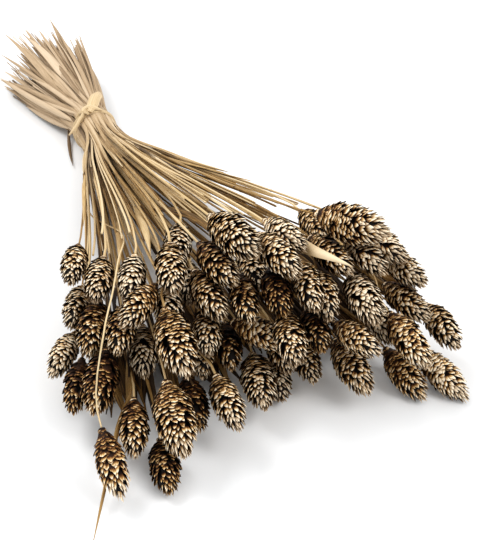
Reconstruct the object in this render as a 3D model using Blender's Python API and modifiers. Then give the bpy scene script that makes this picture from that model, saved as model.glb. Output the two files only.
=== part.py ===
"""A bunch of dried canary grass, tied near its cut ends and lying on a table.

Lengths are in metres. The origin is on the table, right under the tie. The heads lie towards -Y,
the cut ends towards +Y, and +Z is up. Each seed head is an object of its own. The stems, with the
dried leaves that grow on them, are one object, since the tie presses them together.
"""
import math

import bmesh
import bpy
import numpy as np
from mathutils import Matrix, Vector

SEED = 7
MM = 0.001

# The seed heads. A head of size 1 has this length, and this width over its scales.
HEAD_LENGTH = 0.040
HEAD_WIDTH = 0.0169
WIDEST_AT = 0.40
SLIMMEST = 0.30
NECK_RADIUS = 0.0017
SCALES_IN_ROW = 6
ROWS = 5
CLEFT_DEPTH = 0.14
PIT_DEPTH = 0.32

# The stems, and the core that they are pressed into at the tie
STEM_RADIUS = 0.0011
STEM_SIDES = 3
CORE_RADIUS = 0.0146
CORE_HALF_LENGTH = 0.0060
CORE_SIDES = 20
SLOT_RADIUS = 0.0129
SLOT_COLUMNS = 7
PRESSED_HALF = CORE_HALF_LENGTH + 0.0010
# How far the cut ends reach behind the tie: places across it, from -1 at the left to 1, and lengths
CUT_END_REACH = ((-1.0, 0.114), (-0.6, 0.140), (0.1, 0.182), (0.55, 0.160), (1.0, 0.100))
CUT_END_SHORTEST = 0.66
CUT_END_SPREAD = math.radians(19)
CUT_END_LEAN = math.radians(-4.5)
CUT_END_RISE = 0.030
CUT_END_TILT = 0.45
# The cut ends are gathered into this many bundles, which their torn sheaths hold together
BUNDLES_ACROSS = 6
BUNDLES_UP = 2
BUNDLE_PULL = 0.35
STEM_SAG = 0.11
HEAD_PULL = 0.45

# The tie: two turns of a dried strand round the stems, with a knot, a loop and a loose end
AXIS_HEIGHT = 0.0160
TIE_INNER_RADIUS = CORE_RADIUS + 0.0003
TIE_GROOVE_RADIUS = 0.0164
TIE_OUTER_RADIUS = 0.0171
TIE_TURNS = 2
TIE_WIDTH = 0.0070
TIE_SEGMENTS = 20

# How close things may lie
SEAT_GAP = 0.0003
HEAD_GAP = 0.0006
STEM_GAP = 0.0010
LAID_UNDER = 0.0075
HEAD_STEPS = 400
HEAD_SHARE_OF_PUSH = 0.7
LAYER_WAY = np.array((-0.311, -0.769, 0.559))
SIDEWAYS_SHARE = 0.30
STEM_STEPS = 150
STEM_SHARE_OF_PUSH = 0.45
STEM_STIFFNESS = 0.10
LOWEST_IN_RADII = 1.5

STRAW = (0.56, 0.42, 0.24)
HUSK = (0.30, 0.20, 0.10)
BINDING = (0.66, 0.50, 0.28)

# Each stalk: its angle in the fan (degrees, + to +X), the reach of the head's foot from the tie and
# the foot's height over the table (mm), the way the head turns (degrees, as the fan angle), how far
# it dips (degrees) and the head's size.
LEFT_STALKS = (
    (-18, 230, 62, -24, 2, 0.88),
    (-15, 240, 58, -25, 4, 0.98),
    (-11, 252, 63, -24, 6, 0.93),
    (-17, 243, 43, -29, 4, 0.94),
    (-16, 262, 46, -26, 12, 1.10),
    (-19, 264, 25, -38, 6, 0.90),
    (-18, 292, 27, -25, 12, 0.92),
    (-15, 300, 43, -28, 16, 1.14),
    (-9, 284, 68, -46, 3, 0.96),
    (-13, 278, 52, -24, 6, 0.98),
    (-15, 272, 14, -22, 2, 0.96),
    (-11, 280, 38, -17, 8, 0.98),
    (-9, 296, 60, -4, 18, 1.25),
    (-7, 260, 76, -17, 8, 1.05),
)
MIDDLE_STALKS = (
    (-4, 250, 58, -18, 4, 0.92),
    (-7, 270, 57, -18, 4, 0.98),
    (-3, 228, 66, -24, 2, 0.98),
    (-1, 264, 90, 14, 2, 1.25),
    (-3, 266, 75, 10, 6, 1.02),
    (5, 268, 85, 16, 0, 0.88),
    (3, 282, 82, 10, 6, 1.05),
    (-4, 268, 60, 2, 8, 1.10),
    (-3, 284, 50, -18, 6, 0.96),
    (0, 284, 66, -12, 8, 0.96),
    (-1, 290, 44, -14, 6, 0.94),
    (-4, 284, 32, -16, 4, 0.94),
    (2, 262, 66, -8, 2, 0.99),
    (4, 290, 58, -10, 6, 0.96),
    (5, 300, 76, -10, 8, 0.98),
    (3, 304, 50, -12, 8, 1.05),
    (-2, 300, 46, 40, 4, 0.98),
    (3, 298, 36, -8, 6, 0.96),
    (7, 306, 48, -12, 4, 0.94),
    (8, 300, 66, -14, 8, 0.99),
)
FRONT_STALKS = (
    (-16, 358, 32, -1, 34, 0.92),
    (-13, 330, 27, -18, 12, 0.94),
    (-10, 336, 42, -7, 24, 1.25),
    (-11, 345, 10, -12, 4, 0.98),
    (-7, 311, 24, -9, 10, 0.98),
    (-5, 324, 30, -3, 10, 0.98),
    (0, 304, 26, -13, 6, 1.15),
    (3, 296, 14, -12, 0, 0.94),
    (5, 300, 26, -8, 4, 0.96),
)
RIGHT_STALKS = (
    (10, 284, 90, 40, 0, 1.30),
    (13, 254, 74, 6, 2, 0.94),
    (10, 280, 72, 12, 4, 0.98),
    (13, 290, 74, 10, 6, 0.98),
    (16, 286, 72, 18, 4, 1.02),
    (18, 296, 57, 14, 4, 0.98),
    (17, 306, 42, 14, 4, 0.98),
    (20, 324, 27, 0, 6, 1.00),
    (13, 334, 46, 8, 18, 1.04),
    (16, 342, 21, 18, 18, 1.04),
    (14, 328, 22, 8, 14, 1.04),
    (11, 308, 60, -4, 10, 1.12),
    (8, 323, 48, 18, 0, 0.90),
    (9, 316, 26, 2, 14, 1.12),
    (15, 306, 30, -4, 2, 0.94),
)
STALKS = LEFT_STALKS + MIDDLE_STALKS + FRONT_STALKS + RIGHT_STALKS

# Stems that arch over the other heads: the stalk's number, and how far its route's points from the
# third to the sixth are moved to +X and lifted (mm)
ARCHED = (
    (35, (24, 20, 15, 8), (20, 34, 38, 36)),
    (52, (0, 1, 3, 4), (2, 6, 10, 12)),
)

# Each leaf: fan angle, reach and height of its root and of its tip (degrees and mm), its width (mm)
# and how far it bows up or to the side halfway (mm). It grows from the stem that is nearest its root.
LEAVES = (
    ("brown_blade", (-2, 158, 45), (1, 242, 64), 11, 6),
    ("pale_blade", (6.5, 262, 66), (8.5, 332, 86), 8, -3),
    ("front_tail", (-15, 320, 22), (-17, 410, 2), 3, -2),
    ("brown_strip", (-14, 285, 30), (-14, 352, 8), 4, 2),
    ("left_sheath", (-12, 150, 32), (-13, 256, 64), 5, 2),
    ("inner_sheath", (-7, 150, 36), (-9, 258, 70), 6, 3),
    ("back_tail", (31, -29, 6), (-47, 33, 2), 3, -2),
    ("back_blade", (12, -50, 22), (9, -166, 28), 8, 3),
    ("back_sheath", (-8, -50, 22), (-5, -180, 28), 8, 3),
    ("side_sheath", (21, -50, 8), (20, -118, 4), 8, 2),
    ("low_sheath", (16, -50, 12), (15, -138, 10), 8, 2),
    ("top_sheath", (3, -50, 26), (5, -150, 31), 8, 3),
    ("right_sheath", (-14, -40, 24), (-12, -114, 28), 8, 3),
)
LEAF_THICKNESS = 0.0010
LEAF_POINTS = 6
LEAF_SIDE_BOW = 0.4
LEAF_ROOT_WIDTH = 0.35
LEAF_TIP_WIDTH = 0.12
LEAF_WIDENING = 2.2
LEAF_TILT = 0.15

# The knot's rounded lumps: lean from the top of the tie (degrees, - to -X), place along the bunch,
# and size across, along and up (mm)
KNOT_LUMPS = (
    ("knot", -8, 1.0, (11.0, 10.0, 6.4)),
    ("hitch", -34, 1.0, (9.0, 9.0, 5.6)),
)
# The strand's flat loop and its loose end: from where, towards where (mm from the top of the tie) and
# width (mm)
LOOSE_ENDS = (
    ("loop", (-1, 2, 1.4), (12, 22, 2.8), 6.0),
    ("short_end", (-9, 2, -2.0), (-23, -13, -9.0), 3.6),
)
LOOSE_END_POINTS = 6

# Shares of the way from the tie to the head where a stem's route has a point, closer near the head,
# and the straight stretch that each stem ends with
ROUTE_SHARES = np.array((0.0, 0.28, 0.50, 0.65, 0.77, 0.87, 0.95, 1.0))
STRAIGHT_END = 0.007
SAMPLES_IN_LEG = 5


def material(name, colour, roughness):
    """A plain Principled material."""
    made = bpy.data.materials.new(name)
    made.use_nodes = True
    shader = made.node_tree.nodes["Principled BSDF"]
    shader.inputs["Base Color"].default_value = (*colour, 1)
    shader.inputs["Roughness"].default_value = roughness
    return made


def collection(name):
    made = bpy.data.collections.new(name)
    bpy.context.scene.collection.children.link(made)
    return made


def aim(turn, dip):
    """The unit vector that points this way round the fan and this far below level, in degrees."""
    turn, dip = math.radians(turn), math.radians(dip)
    return np.array((math.sin(turn) * math.cos(dip), -math.cos(turn) * math.cos(dip), -math.sin(dip)))


def place(fan, reach, height):
    """The point at this fan angle (degrees), reach and height (mm). A reach behind the tie is negative."""
    fan = math.radians(fan)
    return MM * np.array((reach * math.sin(fan), -reach * math.cos(fan), height))


def girth(share):
    """A head's radius over its largest one, at a share of the way from foot to tip."""
    if share < WIDEST_AT:
        return math.sqrt(max(0.0, 1 - ((WIDEST_AT - share) / WIDEST_AT) ** 2.6))
    return max(0.0, 1 - ((share - WIDEST_AT) / (1 - WIDEST_AT)) ** 2.1) ** 0.72


# How far a scale's tip and its cleft stand before the foot of its row, in row pitches, and the
# place whose girth each takes
TIP_AHEAD = 1.42
TIP_GIRTH_AHEAD = 0.95
CLEFT_AHEAD = 0.80
CLEFT_GIRTH_AHEAD = 0.75
PIT_AHEAD = 1.02
ROW_PITCH = 1 / (ROWS + 0.55)


def tip_radius(share, width):
    """How far the scales' tips stand out at this share of the head's length."""
    back = (TIP_AHEAD - TIP_GIRTH_AHEAD) * ROW_PITCH
    return 0.5 * width * max(girth(share - back), SLIMMEST)


def head_mesh(length, width, spin):
    """A head along +Z: rows of keeled, pointed scales that overlap like tiles, as one surface."""
    bm = bmesh.new()
    count = 2 * SCALES_IN_ROW

    def ring_point(radius, share, step, row):
        angle = spin + (step + row) * math.pi / SCALES_IN_ROW
        return bm.verts.new((radius * math.cos(angle), radius * math.sin(angle), share * length))

    lower = [ring_point(NECK_RADIUS, 0.0, step, 0) for step in range(count)]
    bm.faces.new(reversed(lower))
    for row in range(ROWS):
        foot = row * ROW_PITCH
        outer = tip_radius(foot + TIP_AHEAD * ROW_PITCH, width)
        inner = 0.5 * width * max(girth(foot + CLEFT_GIRTH_AHEAD * ROW_PITCH), 0.8 * SLIMMEST)
        cleft = inner * (1 - CLEFT_DEPTH)
        upper = []
        for step in range(count):
            if step % 2:
                upper.append(ring_point(outer, foot + TIP_AHEAD * ROW_PITCH, step, row))
            else:
                upper.append(ring_point(cleft, foot + CLEFT_AHEAD * ROW_PITCH, step, row))
        for step in range(count):
            after = (step + 1) % count
            tip = upper[step] if step % 2 else upper[after]
            if step % 2:
                bm.faces.new((lower[after], upper[after], tip))
            else:
                bm.faces.new((lower[step], tip, upper[step]))
            bm.faces.new((lower[step], lower[after], tip))
        if row == ROWS - 1:
            end = bm.verts.new((0, 0, length))
            for step in range(count):
                bm.faces.new((upper[step], upper[(step + 1) % count], end))
            break
        pits = {}
        for step in range(1, count, 2):
            pits[step] = ring_point(inner * (1 - PIT_DEPTH), foot + PIT_AHEAD * ROW_PITCH, step, row)
            bm.faces.new((upper[step], upper[(step + 1) % count], pits[step]))
            bm.faces.new((upper[step - 1], upper[step], pits[step]))
        # The next row stands half a scale round from this one, so its ring starts one step on.
        ring = [pits.get(step, upper[step]) for step in range(count)]
        lower = ring[1:] + ring[:1]
    bmesh.ops.recalc_face_normals(bm, faces=bm.faces)
    mesh = bpy.data.meshes.new("head")
    bm.to_mesh(mesh)
    bm.free()
    return mesh


class Heads:
    """Where each head lies. A chain of balls fills it and the end of its stem, for keeping things apart."""

    SHARES = np.array((-0.17, -0.08, 0.07, 0.20, 0.36, 0.52, 0.68, 0.82, 0.92))

    def __init__(self, draw):
        rows = np.array(STALKS, float)
        self.foot = np.array([place(*row[:3]) for row in rows])
        self.way = np.array([aim(*row[3:5]) for row in rows])
        self.turn = [Vector(way).to_track_quat("Z", "Y") for way in self.way]
        self.width = HEAD_WIDTH * rows[:, 5]
        self.length = HEAD_LENGTH * (0.5 + 0.5 * rows[:, 5])
        spin = draw.uniform(0, math.pi / SCALES_IN_ROW, len(rows))
        self.mesh = [head_mesh(*shape) for shape in zip(self.length, self.width, spin)]
        self.depth = np.array([
            -min((turn @ vert.co).z for vert in mesh.vertices) for turn, mesh in zip(self.turn, self.mesh)
        ])
        girths = np.array([tip_radius(share, 1) for share in self.SHARES])
        self.ball_radius = np.where(self.SHARES < 0, STEM_RADIUS, self.width[:, None] * girths)

    def balls(self):
        """The balls' centres: heads, balls, three."""
        along = self.length[:, None] * self.SHARES
        return self.foot[:, None] + self.way[:, None] * along[..., None]


def part_heads(heads):
    """Moves heads that overlap apart, a little at a time, and lays the lowest ones on the table."""
    count, chain = heads.ball_radius.shape
    radius = heads.ball_radius.reshape(-1)
    owner = np.repeat(np.arange(count), chain)
    need = (radius[:, None] + radius + HEAD_GAP) * (owner[:, None] != owner)
    for _ in range(HEAD_STEPS):
        centre = heads.balls().reshape(-1, 3)
        apart = centre[:, None] - centre
        distance = np.linalg.norm(apart, axis=2) + 1e-9
        short = np.clip(need - distance, 0, None)
        push = (apart / distance[..., None] * short[..., None]).reshape(count, -1, 3).sum(axis=1)
        layered = (push @ LAYER_WAY)[:, None] * LAYER_WAY
        push = layered + SIDEWAYS_SHARE * (push - layered)
        touching = np.maximum((short > 0).reshape(count, -1).sum(axis=1), 1)
        heads.foot += HEAD_SHARE_OF_PUSH * push / touching[:, None]
        heads.foot[:, 2] = np.maximum(heads.foot[:, 2], heads.depth)
    laid = heads.foot[:, 2] < heads.depth + LAID_UNDER
    heads.foot[laid, 2] = heads.depth[laid]


def tie_slots(heads):
    """Where each stem passes the tie, as (x, z) from its axis, sorted by fan angle and then by height."""
    count = len(heads.foot)
    golden = math.pi * (3 - math.sqrt(5))
    turn = golden * np.arange(count)
    radius = SLOT_RADIUS * np.sqrt((np.arange(count) + 0.5) / count)
    spots = np.stack((radius * np.cos(turn), radius * np.sin(turn)), 1)
    fan = np.arctan2(heads.foot[:, 0], -heads.foot[:, 1])
    slots = np.empty((count, 2))
    spot_columns = np.array_split(np.argsort(spots[:, 0]), SLOT_COLUMNS)
    head_columns = np.array_split(np.argsort(fan), SLOT_COLUMNS)
    for spot_column, head_column in zip(spot_columns, head_columns):
        rising_spots = spot_column[np.argsort(spots[spot_column, 1])]
        rising_heads = head_column[np.argsort(heads.foot[head_column, 2])]
        slots[rising_heads] = spots[rising_spots]
    return slots


def front_routes(heads, slots):
    """Each stem's points from the tie to its head's foot, on a smooth curve that ends in line with it."""
    start = np.stack((slots[:, 0], np.full(len(slots), -PRESSED_HALF), slots[:, 1] + AXIS_HEIGHT), 1)
    end = heads.foot - heads.way * SEAT_GAP
    span = np.linalg.norm(end - start, axis=1)[:, None]
    leave = end - start - span * np.array((0, 0, STEM_SAG))
    arrive = heads.way * span * HEAD_PULL
    t = ROUTE_SHARES[None, :, None]
    routes = (
        start[:, None] * (2 * t**3 - 3 * t**2 + 1)
        + leave[:, None] * (t**3 - 2 * t**2 + t)
        + end[:, None] * (3 * t**2 - 2 * t**3)
        + arrive[:, None] * (t**3 - t**2)
    )
    routes[:, -2] = end - heads.way * STRAIGHT_END
    for number, shifts, lifts in ARCHED:
        routes[number - 1, 2:6, 0] += MM * np.array(shifts)
        routes[number - 1, 2:6, 2] += MM * np.array(lifts)
    return routes


def clear_routes(heads, routes, radius, own_head, fixed):
    """Bends each route clear of the heads that aren't its own, and keeps it over the table."""
    points = routes.shape[1]
    legs = points - 1
    shares = np.concatenate([leg + np.arange(SAMPLES_IN_LEG) / SAMPLES_IN_LEG for leg in range(legs)])
    weight = np.clip(1 - np.abs(shares[:, None] - np.arange(points)), 0, None)
    centre = heads.balls().reshape(-1, 3)
    need = heads.ball_radius.reshape(-1) + radius[:, None] + STEM_GAP
    owner = np.repeat(np.arange(len(heads.foot)), heads.ball_radius.shape[1])
    need = need * (owner[None, :] != own_head[:, None])
    free = np.ones((1, points, 1))
    free[:, fixed] = 0
    drawn = routes.copy()
    for _ in range(STEM_STEPS):
        sample = np.einsum("sp,npk->nsk", weight, routes)
        apart = sample[:, :, None] - centre
        distance = np.linalg.norm(apart, axis=3) + 1e-9
        short = np.clip(need[:, None] - distance, 0, None)
        push = ((short / distance)[..., None] * apart).sum(axis=2)
        move = np.einsum("sp,nsk->npk", weight, push)
        bend = routes - drawn
        slack = np.zeros_like(routes)
        slack[:, 1:-1] = 0.5 * (bend[:, :-2] + bend[:, 2:]) - bend[:, 1:-1]
        routes = routes + (STEM_SHARE_OF_PUSH * move + STEM_STIFFNESS * slack) * free
        routes[:, 1:, 2] = np.maximum(routes[:, 1:, 2], LOWEST_IN_RADII * radius[:, None])
    return routes


def bundles(slots):
    """The stems' numbers, sorted into the bundles that their cut ends lie in."""
    groups = []
    for column in np.array_split(np.argsort(slots[:, 0]), BUNDLES_ACROSS):
        groups += np.array_split(column[np.argsort(slots[column, 1])], BUNDLES_UP)
    return groups


def back_routes(slots, draw):
    """Each stem's points from its cut end to the tie. Behind the tie the stems spread again."""
    count = len(slots)
    across = slots[:, 0] / SLOT_RADIUS
    reach = np.interp(across, *zip(*CUT_END_REACH)) * draw.uniform(CUT_END_SHORTEST, 1, count)
    side = CUT_END_LEAN + CUT_END_SPREAD * across
    rise = np.clip(0.5 + 0.5 * slots[:, 1] / SLOT_RADIUS + CUT_END_TILT * across, 0, 1)
    height = LOWEST_IN_RADII * STEM_RADIUS + CUT_END_RISE * rise
    end = np.stack((reach * np.sin(side), reach * np.cos(side), height), 1)
    for group in bundles(slots):
        middle = end[group].mean(axis=0)
        length = np.linalg.norm(end[group], axis=1)[:, None]
        end[group] += BUNDLE_PULL * (middle * length / np.linalg.norm(middle) - end[group])
    pressed = np.stack((slots[:, 0], np.full(count, PRESSED_HALF), slots[:, 1] + AXIS_HEIGHT), 1)
    return np.stack((end, 0.55 * pressed + 0.45 * end, pressed), 1)


def leaf_routes(stem_routes):
    """Each leaf's points, from inside the stem that is nearest its root to its tip."""
    steps = np.linspace(0, 1, 24)[:, None]
    starts = stem_routes[:, :-1].reshape(-1, 1, 3)
    ends = stem_routes[:, 1:].reshape(-1, 1, 3)
    on_stems = (starts + (ends - starts) * steps).reshape(-1, 3)
    routes = []
    for _, root, tip, _, bow in LEAVES:
        root, tip = place(*root), place(*tip)
        root = on_stems[np.argmin(np.linalg.norm(on_stems - root, axis=1))]
        t = np.linspace(0, 1, LEAF_POINTS)[:, None]
        bowed = 4 * t * (1 - t) * np.array((LEAF_SIDE_BOW, 0, 1)) * bow * MM
        routes.append(root + (tip - root) * t + bowed)
    return np.array(routes)


def stem_profile():
    """The outline that a stem's curve carries along, which the build leaves out."""
    shape = bpy.data.curves.new("stem_profile", "CURVE")
    shape.dimensions = "2D"
    line = shape.splines.new("POLY")
    line.points.add(STEM_SIDES - 1)
    for i, point in enumerate(line.points):
        angle = 2 * math.pi * i / STEM_SIDES
        point.co = (STEM_RADIUS * math.cos(angle), STEM_RADIUS * math.sin(angle), 0, 1)
    line.use_cyclic_u = True
    profile = bpy.data.objects.new("stem_profile", shape)
    profile.hide_render = True
    profile.display_type = "WIRE"
    return profile


def stem(name, route, profile, home):
    """A stem as a closed mesh: the profile carried along its route, with its caps welded on."""
    shape = bpy.data.curves.new(name, "CURVE")
    shape.dimensions = "3D"
    shape.bevel_mode = "OBJECT"
    shape.bevel_object = profile
    shape.use_fill_caps = True
    line = shape.splines.new("POLY")
    line.points.add(len(route) - 1)
    for point, at in zip(line.points, route):
        point.co = (*at, 1)
    curve = bpy.data.objects.new(name, shape)
    home.objects.link(curve)
    return meshed(curve, home)


def drop_scraps(bm):
    """Keeps the largest of the bodies in the mesh. A union of many strands leaves tiny closed pockets."""
    left = set(bm.verts)
    bodies = []
    while left:
        body = set()
        edge = {left.pop()}
        while edge:
            body |= edge
            edge = {side.other_vert(vert) for vert in edge for side in vert.link_edges} - body
        left -= body
        bodies.append(body)
    largest = max(bodies, key=len)
    for body in bodies:
        if body is not largest:
            bmesh.ops.delete(bm, geom=list(body), context="VERTS")


def meshed(source, home):
    """The object's evaluated shape as one plain closed mesh object in its place, its loose caps welded."""
    bpy.context.view_layer.update()
    graph = bpy.context.evaluated_depsgraph_get()
    mesh = bpy.data.meshes.new_from_object(source.evaluated_get(graph), depsgraph=graph)
    name = source.name
    mesh.transform(source.matrix_world)
    bpy.data.objects.remove(source)
    bm = bmesh.new()
    bm.from_mesh(mesh)
    bmesh.ops.remove_doubles(bm, verts=bm.verts, dist=1e-6)
    drop_scraps(bm)
    bmesh.ops.recalc_face_normals(bm, faces=bm.faces)
    bm.to_mesh(mesh)
    bm.free()
    made = bpy.data.objects.new(name, mesh)
    home.objects.link(made)
    return made


def leaf(name, route, width, home):
    """A narrow blade with a ridge along both its faces, closed at both ends by its cross-section."""
    bm = bmesh.new()
    rings = []
    for i, at in enumerate(route):
        t = i / (len(route) - 1)
        along = Vector(route[min(i + 1, len(route) - 1)] - route[max(i - 1, 0)]).normalized()
        across = along.cross(Vector((LEAF_TILT, 0, 1))).normalized()
        up = across.cross(along)
        half = 0.5 * width * min(1.0, LEAF_ROOT_WIDTH + LEAF_WIDENING * t) * max(1 - t**3, LEAF_TIP_WIDTH)
        thick = 0.5 * LEAF_THICKNESS
        at = Vector(at)
        rings.append([
            bm.verts.new(at + across * half),
            bm.verts.new(at + up * thick),
            bm.verts.new(at - across * half),
            bm.verts.new(at - up * thick),
        ])
    for ring, following in zip(rings, rings[1:]):
        for side in range(4):
            after = (side + 1) % 4
            bm.faces.new((ring[side], ring[after], following[after], following[side]))
    bm.faces.new(rings[0])
    bm.faces.new(rings[-1])
    bmesh.ops.triangulate(bm, faces=bm.faces)
    bmesh.ops.recalc_face_normals(bm, faces=bm.faces)
    mesh = bpy.data.meshes.new(name)
    bm.to_mesh(mesh)
    bm.free()
    made = bpy.data.objects.new(name, mesh)
    home.objects.link(made)
    return made


def joined(base, pieces, home):
    """The base object and the pieces in one closed mesh, by one Boolean union. The pieces are removed."""
    union = base.modifiers.new("union", "BOOLEAN")
    union.operation = "UNION"
    union.operand_type = "COLLECTION"
    union.collection = pieces
    union.solver = "MANIFOLD"
    made = meshed(base, home)
    for piece in list(pieces.objects):
        bpy.data.objects.remove(piece)
    bpy.data.collections.remove(pieces)
    return made


def turned(name, outline, segments, home):
    """A closed outline of (radius, y) points, turned about the tie's axis with a Screw modifier."""
    mesh = bpy.data.meshes.new(name)
    points = [(radius, 0, y) for radius, y in outline]
    mesh.from_pydata(points, [(i, (i + 1) % len(points)) for i in range(len(points))], [])
    made = bpy.data.objects.new(name, mesh)
    screw = made.modifiers.new("turn", "SCREW")
    screw.axis = "Z"
    screw.steps = segments
    screw.render_steps = segments
    screw.use_merge_vertices = True
    screw.merge_threshold = 1e-5
    made.matrix_world = Matrix.Translation((0, 0, AXIS_HEIGHT)) @ Matrix.Rotation(math.radians(-90), 4, "X")
    home.objects.link(made)
    return made


def make_core(home):
    """The short solid round that the stems are pressed into, hidden by the tie."""
    bm = bmesh.new()
    lay = Matrix.Translation((0, 0, AXIS_HEIGHT)) @ Matrix.Rotation(math.radians(90), 4, "X")
    bmesh.ops.create_cone(
        bm, cap_ends=True, segments=CORE_SIDES, radius1=CORE_RADIUS, radius2=CORE_RADIUS,
        depth=2 * CORE_HALF_LENGTH, matrix=lay,
    )
    mesh = bpy.data.meshes.new("stems")
    bm.to_mesh(mesh)
    bm.free()
    core = bpy.data.objects.new("core", mesh)
    home.objects.link(core)
    return core


def knot_lump(name, lean, along, size, home):
    """One rounded lump of the knot, a quarter of it sunk in the turns."""
    lean = math.radians(lean)
    bm = bmesh.new()
    radius = TIE_OUTER_RADIUS + 0.25 * size[2] * MM
    at = Vector((radius * math.sin(lean), along * MM, AXIS_HEIGHT + radius * math.cos(lean)))
    turn = Matrix.Rotation(lean, 4, "Y")
    scale = Matrix.Diagonal((*(0.5 * side * MM for side in size), 1))
    bmesh.ops.create_uvsphere(
        bm, u_segments=8, v_segments=5, radius=1, matrix=Matrix.Translation(at) @ turn @ scale
    )
    mesh = bpy.data.meshes.new(name)
    bm.to_mesh(mesh)
    bm.free()
    made = bpy.data.objects.new(name, mesh)
    home.objects.link(made)
    return made


def tie_outline():
    """The cross-section of the turns side by side, as (radius, y) points."""
    pitch = TIE_WIDTH / TIE_TURNS
    start = -0.5 * TIE_WIDTH
    outline = [(TIE_INNER_RADIUS, -start), (TIE_INNER_RADIUS, start), (TIE_GROOVE_RADIUS, start)]
    for turn in range(TIE_TURNS):
        foot = start + turn * pitch
        outline.append((TIE_OUTER_RADIUS, foot + 0.3 * pitch))
        outline.append((TIE_OUTER_RADIUS, foot + 0.7 * pitch))
        outline.append((TIE_GROOVE_RADIUS, foot + pitch))
    return outline


def flattened(tie, home):
    """The tie with its underside cut flat at the table."""
    bpy.ops.mesh.primitive_cube_add(size=1)
    table = bpy.context.object
    table.name = "table_cutter"
    table.scale = (6 * TIE_OUTER_RADIUS, 6 * TIE_OUTER_RADIUS, TIE_OUTER_RADIUS)
    table.location = (0, 0, -0.5 * TIE_OUTER_RADIUS)
    cut = tie.modifiers.new("flat", "BOOLEAN")
    cut.operation = "DIFFERENCE"
    cut.object = table
    made = meshed(tie, home)
    bpy.data.objects.remove(table)
    return made


def make_tie(home):
    """The strand wound round the neck of the bunch, with its knot and its loose ends."""
    ring = meshed(turned("ring", tie_outline(), TIE_SEGMENTS, home), home)
    pieces = collection("tie_pieces")
    for name, lean, along, size in KNOT_LUMPS:
        knot_lump(name, lean, along, size, pieces)
    top = np.array((0, 0, AXIS_HEIGHT + TIE_OUTER_RADIUS))
    t = np.linspace(0, 1, LOOSE_END_POINTS)[:, None]
    for name, start, end, width in LOOSE_ENDS:
        leaf(name, top + MM * (np.array(start) * (1 - t) + np.array(end) * t), width * MM, pieces)
    tie = flattened(joined(ring, pieces, home), home)
    tie.name = "tie"
    tie.data.materials.clear()
    tie.data.materials.append(material("binding", BINDING, 0.7))


def make_heads(heads, home):
    """One object for each seed head, its foot at its place and its axis along its way."""
    husk = material("husk", HUSK, 0.8)
    for i, (mesh, foot, turn) in enumerate(zip(heads.mesh, heads.foot, heads.turn)):
        mesh.materials.append(husk)
        head = bpy.data.objects.new(f"head_{i + 1:02d}", mesh)
        head.location = foot
        head.rotation_euler = turn.to_euler()
        home.objects.link(head)


def make_stems(heads, draw, home):
    """Stems and leaves, fused with the core that the tie presses them into."""
    slots = tie_slots(heads)
    count = len(slots)
    fronts = front_routes(heads, slots)
    thin = np.full(count, STEM_RADIUS)
    fronts = clear_routes(heads, fronts, thin, np.arange(count), [0, -2, -1])
    routes = np.concatenate((back_routes(slots, draw), fronts), axis=1)
    blades = leaf_routes(routes)
    widths = np.array([row[3] for row in LEAVES]) * MM
    blades = clear_routes(heads, blades, 0.5 * widths, np.full(len(LEAVES), -1), [0])
    pieces = collection("stem_pieces")
    profile = stem_profile()
    for i, route in enumerate(routes):
        stem(f"stem_{i + 1:02d}", route, profile, pieces)
    for row, route, width in zip(LEAVES, blades, widths):
        leaf(row[0], route, width, pieces)
    core = make_core(home)
    stems = joined(core, pieces, home)
    bpy.data.objects.remove(profile)
    stems.name = "stems"
    stems.data.materials.clear()
    stems.data.materials.append(material("straw", STRAW, 0.75))


def main():
    for old in list(bpy.data.objects):
        bpy.data.objects.remove(old)
    draw = np.random.default_rng(SEED)
    bunch = collection("canary_grass_bunch")
    heads = Heads(draw)
    part_heads(heads)
    make_heads(heads, bunch)
    make_stems(heads, draw, bunch)
    make_tie(bunch)


if __name__ == "__main__":
    main()
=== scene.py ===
"""The looks of a bunch of dried canary grass, tied near its cut ends and lying on a pale table.

Lengths are in metres. The origin is on the table under the tie, the heads lie towards -Y, and +Z is
up. Each seed head is modelled scale by scale round the axis of its CAD head. The stems follow the
CAD stems' routes, which are worked out here again from where the heads lie.
"""

import math

import bpy
import numpy as np
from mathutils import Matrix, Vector


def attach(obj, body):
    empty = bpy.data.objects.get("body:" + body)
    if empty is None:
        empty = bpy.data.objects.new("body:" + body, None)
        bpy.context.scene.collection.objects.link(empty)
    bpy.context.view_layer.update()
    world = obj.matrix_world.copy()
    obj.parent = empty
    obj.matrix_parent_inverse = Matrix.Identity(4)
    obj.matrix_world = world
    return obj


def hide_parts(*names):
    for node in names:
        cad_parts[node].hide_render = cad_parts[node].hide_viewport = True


MM = 0.001
GOLDEN = math.pi * (3 - math.sqrt(5))

# Camera and light
CAMERA_AT = (-0.2291, -0.8637, 0.4888)
CAMERA_TURN = math.radians(-22)
CAMERA_RISE = math.radians(34)
LENS = 90
FLOOR_SIZE = 8.0
FLOOR_COLOUR = (0.80, 0.805, 0.81, 1)
SKY_STRENGTH = 1.08

# The CAD model's seed heads, stems and tie. These are the values in the part's source.
CAD_SEED = 7
HEAD_LENGTH = 0.040
HEAD_WIDTH = 0.0169
WIDEST_AT = 0.40
SLIMMEST = 0.30
CAD_SCALES_IN_ROW = 6
CAD_ROW_PITCH = 1 / 5.55
TIP_SET_BACK = 0.47 * CAD_ROW_PITCH
STEM_RADIUS = 0.0011
CORE_HALF_LENGTH = 0.0060
SLOT_RADIUS = 0.0129
SLOT_COLUMNS = 7
PRESSED_HALF = CORE_HALF_LENGTH + 0.0010
CUT_END_REACH = ((-1.0, 0.114), (-0.6, 0.140), (0.1, 0.182), (0.55, 0.160), (1.0, 0.100))
CUT_END_SHORTEST = 0.66
CUT_END_SPREAD = math.radians(19)
CUT_END_LEAN = math.radians(-4.5)
CUT_END_RISE = 0.030
CUT_END_TILT = 0.45
BUNDLES_ACROSS = 6
BUNDLES_UP = 2
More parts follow.
